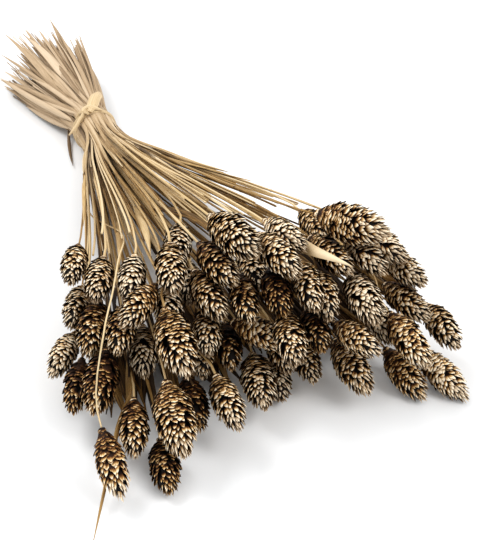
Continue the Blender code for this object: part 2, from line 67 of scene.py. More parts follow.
BUNDLE_PULL = 0.35
STEM_SAG = 0.11
HEAD_PULL = 0.45
AXIS_HEIGHT = 0.0160
SEAT_GAP = 0.0003
STEM_GAP = 0.0010
STEM_STEPS = 150
STEM_SHARE_OF_PUSH = 0.45
STEM_STIFFNESS = 0.10
LOWEST_IN_RADII = 1.5
ROUTE_SHARES = np.array((0.0, 0.28, 0.50, 0.65, 0.77, 0.87, 0.95, 1.0))
STRAIGHT_END = 0.007
SAMPLES_IN_LEG = 5
BALL_SHARES = np.array((-0.17, -0.08, 0.07, 0.20, 0.36, 0.52, 0.68, 0.82, 0.92))

# Each leaf: fan angle, reach and height of its root and of its tip (degrees and mm), its width (mm)
# and how far it bows halfway (mm), as in the part's source
LEAVES = (
    ("brown_blade", (-2, 158, 45), (1, 242, 64), 11, 6),
    ("pale_blade", (6.5, 262, 66), (8.5, 332, 86), 8, -3),
    ("front_tail", (-15, 320, 22), (-17, 410, 2), 3, -2),
    ("brown_strip", (-14, 285, 30), (-14, 352, 8), 4, 2),
    ("left_sheath", (-12, 150, 32), (-13, 256, 64), 5, 2),
    ("inner_sheath", (-7, 150, 36), (-9, 258, 70), 6, 3),
    ("back_tail", (31, -29, 6), (-47, 33, 2), 3, -2),
    ("back_blade", (12, -50, 22), (9, -166, 28), 8, 3),
    ("back_sheath", (-8, -50, 22), (-5, -180, 28), 8, 3),
    ("side_sheath", (21, -50, 8), (20, -118, 4), 8, 2),
    ("low_sheath", (16, -50, 12), (15, -138, 10), 8, 2),
    ("top_sheath", (3, -50, 26), (5, -150, 31), 8, 3),
    ("right_sheath", (-14, -40, 24), (-12, -114, 28), 8, 3),
)
LEAF_POINTS = 6
LEAF_SIDE_BOW = 0.4

# Stems that arch over the other heads: the stalk's number, and how far its route's points from the
# third to the sixth are moved to +X and lifted (mm)
ARCHED = (
    (35, (24, 20, 15, 8), (20, 34, 38, 36)),
    (52, (0, 1, 3, 4), (2, 6, 10, 12)),
)
ARCHED_STEMS = [number - 1 for number, *_ in ARCHED]
# How much darker these are, and how thick over the usual stem
ARCHED_TONE = -0.5
ARCHED_SLIM = 0.7
# Painted shade: how much darker the straws and stems of the bunch's lower half are
LOW_STRAW_SHADE = 0.7
LOW_STEM_SHADE = 0.2

# The inside of the heap, where straws and sheaths are painted darker as its shade: from what reach on and
# over what length, below what height and over what depth (m), and by how much
HEAP_FROM = 0.215
HEAP_OVER = 0.060
HEAP_TOP = 0.070
HEAP_DEPTH = 0.020
HEAP_SHADE = 1.0
# Straws without heads end at this reach where they lie higher than this (m)
STRAWS_END = 0.228
STRAWS_ABOVE = 0.045
BROWN_LEAVES = ("back_tail", "brown_blade", "brown_strip", "front_tail")

# The pale blade is widest where it comes out from between the heads, and it faces up and forward
PALE_BLADE_WIDTH = 0.0100
PALE_BLADE_LIFT = 0.005
PALE_BLADE_FACES = (-0.2, -0.5, 0.8)

# The tie's strands: the middle's place along the bunch (mm), how far each swings to both sides (mm)
# and where round the neck it does (radians)
TIE_STRANDS = ((-2.2, 1.4, 0.3), (0.2, 2.2, 2.4), (2.2, 1.2, 4.4))
TIE_STRAND_RADIUS = 0.0158
TIE_STRAND_WIDTH = 0.0030
# The ribbons of the knot, its loop and its loose ends: the points they pass (mm) and their width (mm)
KNOT_RIBBONS = (
    (((-12, -5, 27.0), (-9, -2, 31.0), (-6, 1, 33.6), (-3, 5, 34.0)), 4.0),
    (((-13, 3, 26.5), (-10, 3, 30.8), (-7, -1, 33.4), (-5, -6, 33.0)), 4.2),
    (((-9, -3, 31.4), (-6, 2, 34.6), (-2, 2, 35.4), (2, -1, 34.4), (6, -3, 32.6)), 3.6),
    (((-4, -3, 33.2), (0, 3, 35.4), (4, 10, 36.8), (8, 17, 36.2), (11, 23, 34.0)), 9.5),
    (((-6, 0, 33.6), (-11, -4, 30.6), (-17, -9, 26.4), (-23, -13, 22.6)), 2.6),
)

# Where along the bunch (Y) the straws start to be paler, and over what length they reach their palest
PALE_FROM = -0.130
PALE_OVER = 0.150

# Tufts of dark leaves between the heads that only the scene has, which stand in for the shade there: the
# fan angle (degrees), reach and height (mm) of both ends, and the width of a leaf (mm)
LEAVES_IN_TUFT = 3
SHADE_TUFTS = (
    ((6.5, 255, 58), (8, 305, 50), 8),
    ((10.5, 250, 54), (11.5, 300, 48), 8),
    ((13, 255, 56), (15, 315, 44), 8),
    ((12.5, 255, 48), (14, 325, 42), 9),
    ((16.5, 250, 58), (17.5, 300, 48), 8),
    ((16, 255, 50), (17.8, 318, 38), 9),
    ((17, 255, 40), (19.5, 318, 26), 8),
    ((19, 252, 32), (21, 292, 20), 7),
    ((3, 250, 30), (5, 290, 22), 9),
    ((7, 235, 22), (8, 275, 12), 9),
    ((8, 255, 14), (9, 300, 6), 9),
    ((1, 250, 18), (2, 290, 8), 10),
    ((-9, 262, 16), (-9, 310, 8), 9),
    ((-12, 262, 16), (-12, 315, 8), 9),
)

# The straws, sheaths and dark leaves that are placed by a rule, the leaves standing in for the heap's
# shade, and how much room the heads leave them
EXTRA_STRAWS = 100
EXTRA_STRAW_RADIUS = 0.7 * MM
FILLER_LEAF_RADIUS = 1.5 * MM
COLLAR_SHEATHS = 84
FAN_SHEATHS = 90
HEAP_SHEATHS = 90
BUNDLE_BLADES = 17
BUNDLE_PULL_MORE = 0.35
COLLAR_RADIUS = 0.0146
# Dark leaves under the heap that stand in for its shade: how many leaves, how far inside the fan's edges,
# from what reach on, and how far in from the furthest head tip beside it a leaf starts and ends
FILLER_LEAVES = 100
FILLER_INSET = math.radians(3)
FILLER_FROM = 0.245
FILLER_START_IN = 0.040
FILLER_END_IN = 0.052

# A straw: how far its cut end is set back at most, the share of torn ends, how far apart its rings
# and its knots are, and how far along and how much a knot swells
CUT_BACK = 0.045
TORN_SHARE = 0.7
STRAW_STEP = 0.010
KNOT_PITCH = 0.13
KNOT_HALF = 0.9 * MM
KNOT_SWELL = 0.32

# A blade's points across its upper side, its thickness there, and its rows along it
BLADE_ACROSS = np.array((-1.0, -0.55, 0.0, 0.55, 1.0))
BLADE_THICK = np.array((0.35, 0.8, 1.3, 0.8, 0.35))
SHEATH_ROWS = 11
LEAF_ROWS = 16
TIE_ROWS = 49
RIBBON_ROWS = 20
RAFFIA_THICKNESS = 0.0011

SEED = 11
# What lies lower than this is bent up, clear of the floor
NEAR_FLOOR = 0.0008

# The fine scales: how many a head of the usual size has, how wide one is, and where along the head
# the first and the last one end
SCALES = 378
SCALE_WIDTH = 0.0023
FIRST_TIP = 0.040
LAST_TIP = 1.02
# The rows of points along a scale, its half widths there, what blunt scales add to them, and the
# points across it. With the tip and the inner face these are 17 points.
SCALE_ROWS = np.array((0.0, 0.32, 0.60, 0.82, 1.0))
SCALE_HALF_WIDTHS = np.array((0.50, 0.92, 1.00, 0.60, 0.0))
BLUNTER_BY = np.array((0.10, 0.08, 0.00, 0.34, 0.0))
SCALE_ACROSS = np.array((-1.0, 0.0, 1.0))
SCALE_POINTS = 17
# The core that the scales stand on. Its end and its girth are shares of the head's.
CORE_RINGS = 9
CORE_SIDES = 12
CORE_END = 0.93
CORE_GIRTH = 0.66
# How much paler the scales are towards the head's tip, and at its very foot
PALER_TO_TIP = 2.9
PALER_AT_FOOT = 2.5
# How much paler each head is than its scales' own colours, and the heads that differ from the rest by
# painted
# light and shade: paler for those out in the light, darker for those half in the shade of others and those
# low in the heap
HEAD_TONE = 0.46
HEAD_LIGHT_AND_SHADE = (
    (1.5, (3, 15, 20, 42, 48, 55, 58)),
    (1.0, (6, 12, 16, 17, 47, 49)),
    (0.7, (11, 53)),
    (0.4, (1, 2, 4, 14, 18, 21, 23, 27, 34, 40, 41, 44, 50, 51)),
    (-0.3, (35, 46)),
    (-0.6, (19, 36, 54)),
    (-0.9, (5, 10, 24)),
    (-1.5, (7, 8, 25, 28, 33, 38, 39)),
)


def unit(vectors):
    """The vectors at length 1."""
    return vectors / (np.linalg.norm(vectors, axis=-1, keepdims=True) + 1e-12)


def place(fan, reach, height):
    """The point at this fan angle (degrees), reach and height (mm). A reach behind the tie is negative."""
    fan = math.radians(fan)
    return MM * np.array((reach * math.sin(fan), -reach * math.cos(fan), height))


# Where the CAD model's heads, stems and leaves are

def girth(share):
    """A head's radius over its largest one, at shares of the way from foot to tip."""
    share = np.asarray(share, float)
    below = np.clip((WIDEST_AT - share) / WIDEST_AT, 0, 1)
    above = np.clip((share - WIDEST_AT) / (1 - WIDEST_AT), 0, 1)
    return np.where(share < WIDEST_AT, np.sqrt(1 - below**2.6), (1 - above**2.1) ** 0.72)


def tip_radius(share, width):
    """How far the CAD scales' tips stand out at this share of the head's length."""
    return 0.5 * width * np.maximum(girth(np.asarray(share) - TIP_SET_BACK), SLIMMEST)


class Heads:
    """Where each CAD head lies, read from its mesh: its foot is a flat ring and its tip a point."""

    def __init__(self, nodes):
        self.names = sorted(name for name in nodes if name.startswith("head_"))
        found = [self.read(nodes[name]) for name in self.names]
        self.foot = np.array([foot for foot, _, _ in found])
        self.way = np.array([way for _, way, _ in found])
        self.length = np.array([length for _, _, length in found])
        self.width = HEAD_WIDTH * (2 * self.length / HEAD_LENGTH - 1)
        girths = tip_radius(BALL_SHARES, 1)
        self.ball_radius = np.where(BALL_SHARES < 0, STEM_RADIUS, self.width[:, None] * girths)

    @staticmethod
    def read(node):
        points = np.array([vert.co for vert in node.data.vertices], float)
        points = np.unique(points.round(7), axis=0)
        middle = points.mean(axis=0)
        axis = np.linalg.svd(points - middle, full_matrices=False)[2][0]
        along = (points - middle) @ axis
        if (along > along.max() - 2e-4).sum() > (along < along.min() + 2e-4).sum():
            axis, along = -axis, -along
        foot = points[along < along.min() + 3e-4].mean(axis=0)
        tip = points[along.argmax()]
        length = np.linalg.norm(tip - foot)
        return foot, (tip - foot) / length, length

    def balls(self):
        """The centres of the balls that fill each head and the end of its stem: heads, balls, three."""
        along = self.length[:, None] * BALL_SHARES
        return self.foot[:, None] + self.way[:, None] * along[..., None]


def tie_slots(heads):
    """Where each stem passes the tie, as (x, z) from its axis, sorted by fan angle and then by height."""
    count = len(heads.foot)
    turn = GOLDEN * np.arange(count)
    radius = SLOT_RADIUS * np.sqrt((np.arange(count) + 0.5) / count)
    spots = np.stack((radius * np.cos(turn), radius * np.sin(turn)), 1)
    fan = np.arctan2(heads.foot[:, 0], -heads.foot[:, 1])
    slots = np.empty((count, 2))
    spot_columns = np.array_split(np.argsort(spots[:, 0]), SLOT_COLUMNS)
    head_columns = np.array_split(np.argsort(fan), SLOT_COLUMNS)
    for spot_column, head_column in zip(spot_columns, head_columns):
        rising_spots = spot_column[np.argsort(spots[spot_column, 1])]
        rising_heads = head_column[np.argsort(heads.foot[head_column, 2])]
        slots[rising_heads] = spots[rising_spots]
    return slots


def front_routes(heads, slots):
    """Each stem's points from the tie to its head's foot, on a smooth curve that ends in line with it."""
    start = np.stack((slots[:, 0], np.full(len(slots), -PRESSED_HALF), slots[:, 1] + AXIS_HEIGHT), 1)
    end = heads.foot - heads.way * SEAT_GAP
    span = np.linalg.norm(end - start, axis=1)[:, None]
    leave = end - start - span * np.array((0, 0, STEM_SAG))
    arrive = heads.way * span * HEAD_PULL
    t = ROUTE_SHARES[None, :, None]
    routes = (
        start[:, None] * (2 * t**3 - 3 * t**2 + 1)
        + leave[:, None] * (t**3 - 2 * t**2 + t)
        + end[:, None] * (3 * t**2 - 2 * t**3)
        + arrive[:, None] * (t**3 - t**2)
    )
    routes[:, -2] = end - heads.way * STRAIGHT_END
    for number, shifts, lifts in ARCHED:
        routes[number - 1, 2:6, 0] += MM * np.array(shifts)
        routes[number - 1, 2:6, 2] += MM * np.array(lifts)
    return routes


def clear_routes(heads, routes, radius, fixed, steps=STEM_STEPS, own=False):
    """Bends each route clear of the heads, or of those that aren't its own, and over the table."""
    radius = np.broadcast_to(radius, len(routes))
    points = routes.shape[1]
    legs = points - 1
    shares = np.concatenate([leg + np.arange(SAMPLES_IN_LEG) / SAMPLES_IN_LEG for leg in range(legs)])
    weight = np.clip(1 - np.abs(shares[:, None] - np.arange(points)), 0, None)
    centre = heads.balls().reshape(-1, 3)
    need = heads.ball_radius.reshape(-1) + radius[:, None] + STEM_GAP
    if own:
        owner = np.repeat(np.arange(len(heads.foot)), heads.ball_radius.shape[1])
        need = need * (owner != np.arange(len(routes))[:, None])
    free = np.ones((1, points, 1))
    free[:, fixed] = 0
    drawn = routes.copy()
    for _ in range(steps):
        sample = np.einsum("sp,npk->nsk", weight, routes)
        apart = sample[:, :, None] - centre
        distance = np.linalg.norm(apart, axis=3) + 1e-9
        short = np.clip(need[:, None] - distance, 0, None)
        push = ((short / distance)[..., None] * apart).sum(axis=2)
        move = np.einsum("sp,nsk->npk", weight, push)
        bend = routes - drawn
        slack = np.zeros_like(routes)
        slack[:, 1:-1] = 0.5 * (bend[:, :-2] + bend[:, 2:]) - bend[:, 1:-1]
        routes = routes + (STEM_SHARE_OF_PUSH * move + STEM_STIFFNESS * slack) * free
        routes[:, 1:, 2] = np.maximum(routes[:, 1:, 2], LOWEST_IN_RADII * radius[:, None])
    return routes


def bundles(slots):
    """The stems' numbers, sorted into the bundles that their cut ends lie in."""
    groups = []
    for column in np.array_split(np.argsort(slots[:, 0]), BUNDLES_ACROSS):
        groups += np.array_split(column[np.argsort(slots[column, 1])], BUNDLES_UP)
    return groups


def gathered(ends, pull):
    """The cut ends of one bundle, turned towards its middle by this share."""
    middle = unit(ends.mean(axis=0))
    return ends + pull * (middle * np.linalg.norm(ends, axis=1)[:, None] - ends)


def back_routes(slots, draw):
    """Each stem's points from its cut end to the tie. Behind the tie the stems spread again."""
    count = len(slots)
    draw.uniform(0, math.pi / CAD_SCALES_IN_ROW, count)
    across = slots[:, 0] / SLOT_RADIUS
    reach = np.interp(across, *zip(*CUT_END_REACH)) * draw.uniform(CUT_END_SHORTEST, 1, count)
    side = CUT_END_LEAN + CUT_END_SPREAD * across
    rise = np.clip(0.5 + 0.5 * slots[:, 1] / SLOT_RADIUS + CUT_END_TILT * across, 0, 1)
    height = LOWEST_IN_RADII * STEM_RADIUS + CUT_END_RISE * rise
    end = np.stack((reach * np.sin(side), reach * np.cos(side), height), 1)
    for group in bundles(slots):
        end[group] = gathered(end[group], BUNDLE_PULL)
    pressed = np.stack((slots[:, 0], np.full(count, PRESSED_HALF), slots[:, 1] + AXIS_HEIGHT), 1)
    return np.stack((end, 0.55 * pressed + 0.45 * end, pressed), 1)


def leaf_routes(stem_routes):
    """Each leaf's points, from inside the stem that is nearest its root to its tip."""
    steps = np.linspace(0, 1, 24)[:, None]
    starts = stem_routes[:, :-1].reshape(-1, 1, 3)
    ends = stem_routes[:, 1:].reshape(-1, 1, 3)
    on_stems = (starts + (ends - starts) * steps).reshape(-1, 3)
    routes = []
    for _, root, tip, _, bow in LEAVES:
        root, tip = place(*root), place(*tip)
        root = on_stems[np.argmin(np.linalg.norm(on_stems - root, axis=1))]
        t = np.linspace(0, 1, LEAF_POINTS)[:, None]
        bowed = 4 * t * (1 - t) * np.array((LEAF_SIDE_BOW, 0, 1)) * bow * MM
        routes.append(root + (tip - root) * t + bowed)
    return np.array(routes)


# Meshes

class Pile:
    """Triangles and the values painted on their points, gathered into one mesh.

    Along and across say where a point is on its scale, straw or leaf. Tint is drawn for each one. Tone
    makes a scale paler and a straw darker, and holds painted light and shade as well as their own tone.
    Pale runs from 0 in front of the tie to 1 behind it.
    """

    PAINTS = ("along", "across", "tint", "tone", "pale")

    def __init__(self):
        self.points = []
        self.triangles = []
        self.paints = {paint: [] for paint in self.PAINTS}
        self.count = 0

    def add(self, points, triangles, **paints):
        points = np.array(points, float).reshape(-1, 3)
        low = points[:, 2] < NEAR_FLOOR
        points[low, 2] = NEAR_FLOOR * np.exp(points[low, 2] / NEAR_FLOOR - 1)
        self.points.append(points)
        self.triangles.append(np.asarray(triangles).reshape(-1, 3) + self.count)
        paints["pale"] = np.clip((points[:, 1] - PALE_FROM) / PALE_OVER, 0, 1)
        for paint in self.PAINTS:
            values = np.broadcast_to(np.asarray(paints.get(paint, 0.0), float), len(points))
            self.paints[paint].append(values)
        self.count += len(points)

    def made(self, name, material, sharp=50):
        """The pile as a mesh object, smooth except where its faces meet at more than this angle."""
        mesh = bpy.data.meshes.new(name)
        mesh.from_pydata(np.concatenate(self.points), [], np.concatenate(self.triangles))
        for paint, values in self.paints.items():
            attribute = mesh.attributes.new(paint, "FLOAT", "POINT")
            attribute.data.foreach_set("value", np.concatenate(values).astype(np.float32))
        mesh.shade_smooth()
        mesh.set_sharp_from_angle(angle=math.radians(sharp))
        mesh.materials.append(material)
        made = bpy.data.objects.new(name, mesh)
        bpy.context.scene.collection.objects.link(made)
        return made


def distances(points):
    """How far along the line each of its points is."""
    return np.concatenate(([0], np.cumsum(np.linalg.norm(np.diff(points, axis=0), axis=1))))


def length_of(points):
    return np.linalg.norm(np.diff(points, axis=0), axis=1).sum()


def curve_at(points, where):
    """The smooth curve through the points, at these distances along it."""
    points = np.asarray(points, float)
    knots = distances(points)
    slope = np.gradient(points, knots, axis=0)
    where = np.clip(where, 0, knots[-1])
    leg = np.clip(np.searchsorted(knots, where, side="right") - 1, 0, len(points) - 2)
    span = (knots[leg + 1] - knots[leg])[:, None]
    t = (where - knots[leg])[:, None] / span
    return (
        points[leg] * (2 * t**3 - 3 * t**2 + 1)
        + slope[leg] * span * (t**3 - 2 * t**2 + t)
        + points[leg + 1] * (3 * t**2 - 2 * t**3)
        + slope[leg + 1] * span * (t**3 - t**2)
    )


def smooth(points, count):
    """The smooth curve through the points, as this many points."""
    return curve_at(points, np.linspace(0, length_of(points), count))


def frame_along(line, up=(0, 0, 1)):
    """The unit vectors across and up at each point of a line, square to it and close to the given up."""
    along = unit(np.gradient(line, axis=0))
    across = unit(np.cross(along, up))
    return across, np.cross(across, along)


def tube(rings, sides):
    """The triangles of a tube of rings. The two points after the rings close its ends."""
    ring = np.arange(rings - 1)[:, None]
    side = np.arange(sides)[None]
    following = (side + 1) % sides
    a = ring * sides + side
    b = ring * sides + following
    c = b + sides
    d = a + sides
    first, last = rings * sides, rings * sides + 1
    last_ring = (rings - 1) * sides
    caps = []
    for k in range(sides):
        after = (k + 1) % sides
        caps += [(first, after, k), (last, last_ring + k, last_ring + after)]
    return np.concatenate((
        np.stack((a, b, c), -1).reshape(-1, 3), np.stack((a, c, d), -1).reshape(-1, 3), caps
    ))


def scale_template():
    """The triangles of one scale: a keeled outer face of three points across, and an inner face."""
    triangles = []
    tip, inner = 12, 13
    for row in range(3):
        for column in range(2):
            a = 3 * row + column
            triangles += [(a, a + 1, a + 4), (a, a + 4, a + 3)]
        left, right, under = 3 * row, 3 * row + 2, inner + row
        triangles += [(left, left + 3, under + 1), (left, under + 1, under)]
        triangles += [(right, under, under + 1), (right, under + 1, right + 3)]
    triangles += [(9, 10, tip), (10, 11, tip), (9, tip, 16), (11, 16, tip)]
    triangles += [(0, inner, 1), (1, inner, 2)]
    return np.array(triangles)


def core_points(length, width):
    """The rings of a head's core and its two ends, for a head that stands at the origin."""
    share = np.linspace(0, CORE_END, CORE_RINGS)
    radius = np.maximum(CORE_GIRTH * tip_radius(share, width), 0.0010)
    radius[0] = 0.0011
    radius[1] *= 0.8
    radius[-1] = 0.0008
    around = np.arange(CORE_SIDES) * 2 * math.pi / CORE_SIDES
    ring = np.stack((np.cos(around), np.sin(around)), -1)
    height = np.broadcast_to(share[:, None, None] * length, (CORE_RINGS, CORE_SIDES, 1))
    rings = np.concatenate((radius[:, None, None] * ring, height), -1).reshape(-1, 3)
    return np.concatenate((rings, [(0, 0, 0), (0, 0, share[-1] * length)]))


def fine_head(name, foot, way, length, width, tone, draw, material):
    """A seed head: keeled, pointed scales in golden-angle order round a core painted near black as shade,
    open at the tip.
    """
    count = round(SCALES * length * width / (HEAD_LENGTH * HEAD_WIDTH))
    fine = math.sqrt(SCALES / count)
    rank = (np.arange(count) + 0.5) / count
    pitch = 0.50 + 0.40 * np.clip(rank / 0.22, 0, 1) + 1.10 * np.clip((rank - 0.55) / 0.45, 0, 1)
    share = np.cumsum(pitch)
    share = FIRST_TIP + (LAST_TIP - FIRST_TIP) * share / share[-1]
    share += draw.normal(0, 0.009, count)
    angle = GOLDEN * np.arange(count) + draw.uniform(0, 2 * math.pi) + draw.normal(0, 0.14, count)
    end = np.clip((share - 0.70) / 0.30, 0, 1)
    start = np.clip(share / 0.30, 0, 1)
    blunt = 1 - np.clip((share - 0.40) / 0.35, 0, 1)
    scale_length = fine * length * (0.080 + 0.055 * start + 0.150 * end) * draw.normal(1, 0.12, count)
    scale_width = SCALE_WIDTH * width / HEAD_WIDTH * fine * (0.50 + 0.50 * girth(share - 0.03))
    scale_width = scale_width * (1 + 0.25 * end + 0.55 * blunt) * draw.normal(1, 0.12, count)
    tip_r = tip_radius(share, width) * (1.02 + draw.uniform(-0.12, 0.13, count))
    last = np.clip((share - 0.90) / 0.10, 0, 1)
    tip_r = tip_r * (1 - last * draw.uniform(0.1, 0.7, count))
    tip_z = share * length
    foot_z = np.maximum(tip_z - scale_length, -0.0006)
    foot_r = tip_radius(foot_z / length, width) * (0.78 - 0.34 * end)
    foot_r = np.minimum(foot_r, 0.0014 + 0.75 * np.maximum(foot_z, 0) + 0.2 * tip_r)
    flare = (0.10 + 0.03 * draw.normal(0, 1, count) + 0.07 * end) * scale_length

    s = np.concatenate((np.repeat(SCALE_ROWS[:4], 3), [1.0], SCALE_ROWS[:4]))
    t = np.concatenate((np.tile(SCALE_ACROSS, 4), [0.0], np.zeros(4)))
    half = np.interp(s, SCALE_ROWS, SCALE_HALF_WIDTHS)
    half = half + blunt[:, None] * np.interp(s, SCALE_ROWS, BLUNTER_BY)
    arch = (1 - np.abs(t) ** 1.5) * np.interp(s, (0, 0.3, 0.8, 1), (0.20, 0.30, 0.22, 0.03))
    arch = arch * (1 - 0.5 * blunt[:, None])
    inner = np.concatenate((np.zeros(13), np.ones(4)))
    z = foot_z[:, None] + (tip_z - foot_z)[:, None] * s
    r = foot_r[:, None] + (tip_r - foot_r)[:, None] * s**0.85
    r = r + 0.06 * scale_length[:, None] * 4 * s * (1 - s) - flare[:, None] * (1 - s**3)
    r = r + scale_width[:, None] * (arch - 0.12) - 0.0004 * inner
    r = np.maximum(r, 0.0003)
    round_by = scale_width[:, None] * 0.5 * half * t / np.maximum(r, 0.32 * scale_width[:, None])
    twist = draw.normal(0, 0.16, count)[:, None] * s
    theta = angle[:, None] + round_by + twist
    points = np.stack((r * np.cos(theta), r * np.sin(theta), z), -1).reshape(-1, 3)
    triangles = (scale_template()[None] + SCALE_POINTS * np.arange(count)[:, None, None]).reshape(-1, 3)
    pile = Pile()
    tint = np.repeat(draw.uniform(0, 1, count), SCALE_POINTS)
    # The head's tone, which holds its painted light and shade, made paler towards the tip and at the foot
    paler = tone + PALER_TO_TIP * np.maximum(share - 0.5, -0.33)
    paler = paler + PALER_AT_FOOT * np.clip(1 - share / 0.14, 0, 1)
    turn = np.array(Vector(way).to_track_quat("Z", "Y").to_matrix())
    pile.add(
        points @ turn.T + foot, triangles, along=np.tile(s, count), across=np.tile(t, count),
        tint=tint, tone=np.repeat(paler, SCALE_POINTS),
    )
    # The core is painted near black, as the shade deep inside the head
    pile.add(core_points(length, width) @ turn.T + foot, tube(CORE_RINGS, CORE_SIDES), tone=tone)
    return pile.made(name, material, sharp=60)


# Materials

def graph(name, roughness, specular=0.3):
    """A new node material, with its node tree and its shader."""
    made = bpy.data.materials.new(name)
    made.use_nodes = True
    tree = made.node_tree
    shader = tree.nodes["Principled BSDF"]
    shader.inputs["Roughness"].default_value = roughness
    shader.inputs["Specular IOR Level"].default_value = specular
    return made, tree, shader


def painted(tree, name):
    """The socket that gives a value painted on the mesh."""
    node = tree.nodes.new("ShaderNodeAttribute")
    node.attribute_name = name
    return node.outputs["Fac"]


def math_node(tree, operation, first, second=None, third=None, clamp=False):
    node = tree.nodes.new("ShaderNodeMath")
    node.operation = operation
    node.use_clamp = clamp
    for socket, value in zip(node.inputs, (first, second, third)):
        if isinstance(value, (int, float)):
            socket.default_value = value
        elif value is not None:
            tree.links.new(value, socket)
    return node.outputs[0]


def ramp(tree, value, stops):
    """Colours (linear RGB) at places along a value."""
    node = tree.nodes.new("ShaderNodeValToRGB")
    elements = node.color_ramp.elements
    while len(elements) < len(stops):
        elements.new(0.5)
    for element, (place_at, colour) in zip(elements, stops):
        element.position = place_at
        element.color = (*colour, 1)
    tree.links.new(value, node.inputs["Fac"])
    return node.outputs["Color"]


def mixed(tree, blend, factor, first, second):
    """Two colours mixed. The factor and the second colour may be sockets or plain values."""
    node = tree.nodes.new("ShaderNodeMix")
    node.data_type = "RGBA"
    node.blend_type = blend
    for socket, value in ((node.inputs[0], factor), (node.inputs[6], first), (node.inputs[7], second)):
        if isinstance(value, bpy.types.NodeSocket):
            tree.links.new(value, socket)
        elif isinstance(value, tuple):
            socket.default_value = (*value, 1)
        else:
            socket.default_value = value
    return node.outputs[2]


def streaks(tree, stretch, detail=2.0):
    """Noise drawn out along each scale or straw, from 0 to 1."""
    where = tree.nodes.new("ShaderNodeCombineXYZ")
    for socket, paint, factor in zip(where.inputs, ("across", "along", "tint"), stretch):
        tree.links.new(math_node(tree, "MULTIPLY", painted(tree, paint), factor), socket)
    noise = tree.nodes.new("ShaderNodeTexNoise")
    noise.inputs["Scale"].default_value = 1.0
    noise.inputs["Detail"].default_value = detail
    tree.links.new(where.outputs[0], noise.inputs["Vector"])
    return noise.outputs["Fac"]


def shade(tree, distance, stops):
    """How much light gets in between the scales or straws, as a colour that is warmer in the dark."""
    node = tree.nodes.new("ShaderNodeAmbientOcclusion")
    node.samples = 4
    node.inputs["Distance"].default_value = distance
    return ramp(tree, node.outputs["AO"], stops)


def bumped(tree, shader, height, strength, distance):
    node = tree.nodes.new("ShaderNodeBump")
    node.inputs["Strength"].default_value = strength
    node.inputs["Distance"].default_value = distance
    tree.links.new(height, node.inputs["Height"])
    tree.links.new(node.outputs["Normal"], shader.inputs["Normal"])


def husk_material():
    """Dried husks: painted near black as shade where the scales overlap, and golden to cream at their tips
    and rims.
    """
    made, tree, shader = graph("husk", 0.65, 0.12)
    streak = streaks(tree, (3.0, 1.6, 91.0))
    rim = math_node(tree, "POWER", math_node(tree, "ABSOLUTE", painted(tree, "across")), 2.0)
    # Each scale darkens towards its covered base, to near black: painted shade where the scales overlap
    along = math_node(tree, "SUBTRACT", painted(tree, "along"), 0.06)
    value = math_node(tree, "MULTIPLY_ADD", rim, 0.10, along)
    value = math_node(tree, "MULTIPLY_ADD", painted(tree, "tone"), 0.16, value)
    value = math_node(tree, "MULTIPLY_ADD", math_node(tree, "SUBTRACT", streak, 0.5), 0.36, value)
    tint = math_node(tree, "SUBTRACT", painted(tree, "tint"), 0.5)
    value = math_node(tree, "MULTIPLY_ADD", tint, 0.30, value, clamp=True)
    colour = ramp(tree, value, (
        (0.00, (0.004, 0.002, 0.001)),
        (0.54, (0.022, 0.007, 0.002)),
        (0.66, (0.150, 0.056, 0.015)),
        (0.77, (0.435, 0.240, 0.076)),
        (0.87, (0.765, 0.523, 0.245)),
        (1.00, (0.990, 0.850, 0.640)),
    ))
    colour = mixed(tree, "MULTIPLY", 1.0, colour, shade(tree, 0.006, (
        (0.00, (0.000, 0.000, 0.000)),
        (0.35, (0.160, 0.100, 0.055)),
        (0.70, (0.560, 0.465, 0.365)),
        (1.00, (1.000, 1.000, 1.000)),
    )))
    tree.links.new(colour, shader.inputs["Base Color"])
    bumped(tree, shader, streak, 0.35, 0.0003)
    return made


def toned(tree, streak, tint_by, tone_by):
    """The streaks, shifted by the tint and the tone."""
    tint = math_node(tree, "SUBTRACT", painted(tree, "tint"), 0.5)
    value = math_node(tree, "MULTIPLY_ADD", tint, tint_by, streak)
    return math_node(tree, "MULTIPLY_ADD", painted(tree, "tone"), tone_by, value, clamp=True)


def straw_material():
    """Dried straw: brown to beige with the grain, darker where tone (its own and painted shade) says so,
    pinker behind the tie.
    """
    made, tree, shader = graph("straw", 0.65, 0.15)
    streak = streaks(tree, (7.0, 9.0, 53.0), 3.0)
    value = toned(tree, streak, 0.60, -0.55)
    colour = ramp(tree, value, (
        (0.00, (0.036, 0.020, 0.009)),
        (0.15, (0.210, 0.110, 0.030)),
        (0.32, (0.430, 0.270, 0.095)),
        (0.52, (0.600, 0.440, 0.225)),
        (0.75, (0.700, 0.550, 0.325)),
        (1.00, (0.780, 0.640, 0.430)),
    ))
    far = ramp(tree, value, (
        (0.00, (0.160, 0.105, 0.060)),
        (0.22, (0.310, 0.212, 0.122)),
        (0.42, (0.430, 0.310, 0.190)),
        (0.62, (0.510, 0.380, 0.245)),
        (1.00, (0.620, 0.490, 0.345)),
    ))
    colour = mixed(tree, "MIX", painted(tree, "pale"), colour, far)
    fade = math_node(tree, "MULTIPLY_ADD", painted(tree, "pale"), -0.7, 1.0)
    colour = mixed(tree, "MULTIPLY", fade, colour, shade(tree, 0.015, (
        (0.00, (0.100, 0.045, 0.010)),
        (0.50, (0.600, 0.490, 0.340)),
        (1.00, (1.000, 1.000, 1.000)),
    )))
    tree.links.new(colour, shader.inputs["Base Color"])
    bumped(tree, shader, streak, 0.35, 0.0003)
    return made


